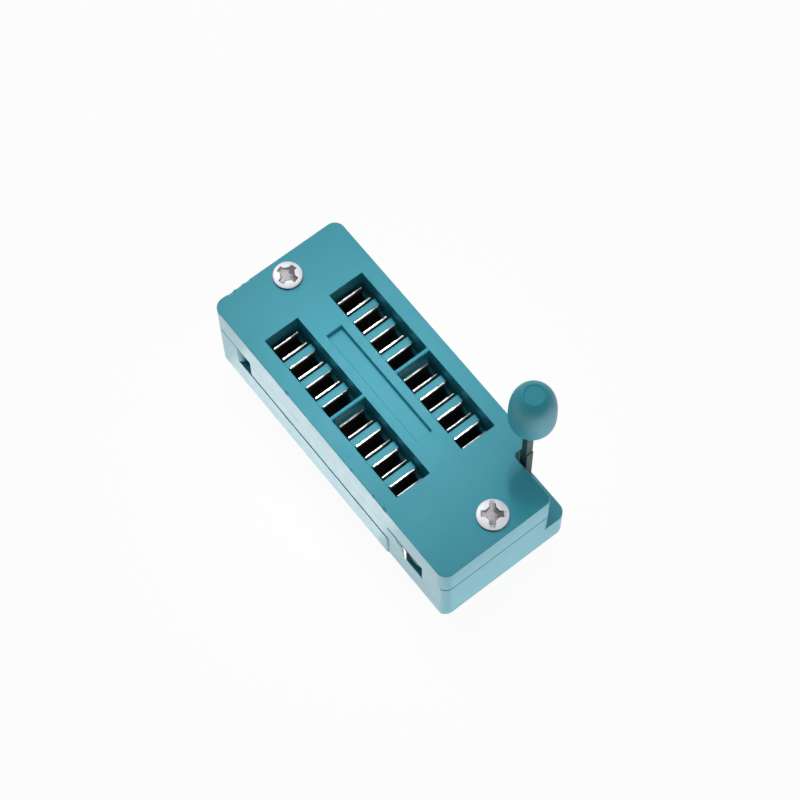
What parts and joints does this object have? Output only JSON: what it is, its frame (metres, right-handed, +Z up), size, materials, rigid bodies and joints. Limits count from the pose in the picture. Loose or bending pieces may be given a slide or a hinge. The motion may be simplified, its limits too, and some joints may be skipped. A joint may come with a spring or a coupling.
{
  "type": "zero insertion force socket",
  "caption": "Zero insertion force socket for a dual in-line package, with a windowed cover, spring contacts, a sliding comb, a cam shaft and a tilting lever.",
  "frame": {"origin": "centre of the contact field, on the seating face that lies on the board", "axes": "+X along the socket to the lever end, +Y to the lever side, +Z up out of the board"},
  "size_m": [0.0352, 0.0159, 0.0278],
  "materials": {
    "housing_plastic": "satin moulded",
    "slider_plastic": "satin moulded",
    "knob_plastic": "satin moulded",
    "contact_metal": "bright plated",
    "strap_steel": "bright sheet",
    "shaft_steel": "oiled",
    "lever_steel": "dark plated",
    "screw_steel": "zinc plated"
  },
  "bodies": {
    "housing": {"base_housing": "housing_plastic", "top_cover": "housing_plastic", "far_screw": "screw_steel", "lever_screw": "screw_steel", "contact_01": "contact_metal", "contact_02": "contact_metal", "contact_03": "contact_metal", "contact_04": "contact_metal", "contact_05": "contact_metal", "contact_06": "contact_metal", "contact_07": "contact_metal", "contact_08": "contact_metal", "contact_09": "contact_metal", "contact_10": "contact_metal", "contact_11": "contact_metal", "contact_12": "contact_metal", "contact_13": "contact_metal", "contact_14": "contact_metal", "contact_15": "contact_metal", "contact_16": "contact_metal"},
    "slider": {"slider_comb": "slider_plastic", "drive_strap": "strap_steel"},
    "lever": {"cam_shaft": "shaft_steel", "lever_arm": "lever_steel", "lever_knob": "knob_plastic"}
  },
  "joints": [
    {"name": "lever_tilt", "type": "hinge", "parent": "housing", "child": "lever", "pos_m": [0.01415, 0.00604, 0.00535], "axis": [0, 1, 0], "range_deg": [0, 90]},
    {"name": "slider_slide", "type": "slide", "parent": "housing", "child": "slider", "axis": [-1, 0, 0], "range_m": [0, 0.0011], "deforming": ["contact_01", "contact_02", "contact_03", "contact_04", "contact_05", "contact_06", "contact_07", "contact_08", "contact_09", "contact_10", "contact_11", "contact_12", "contact_13", "contact_14", "contact_15", "contact_16"]}
  ],
  "couplings": [
    {"joint": "lever_tilt", "follows": "slider_slide", "rad_per_m": 1428}
  ]
}
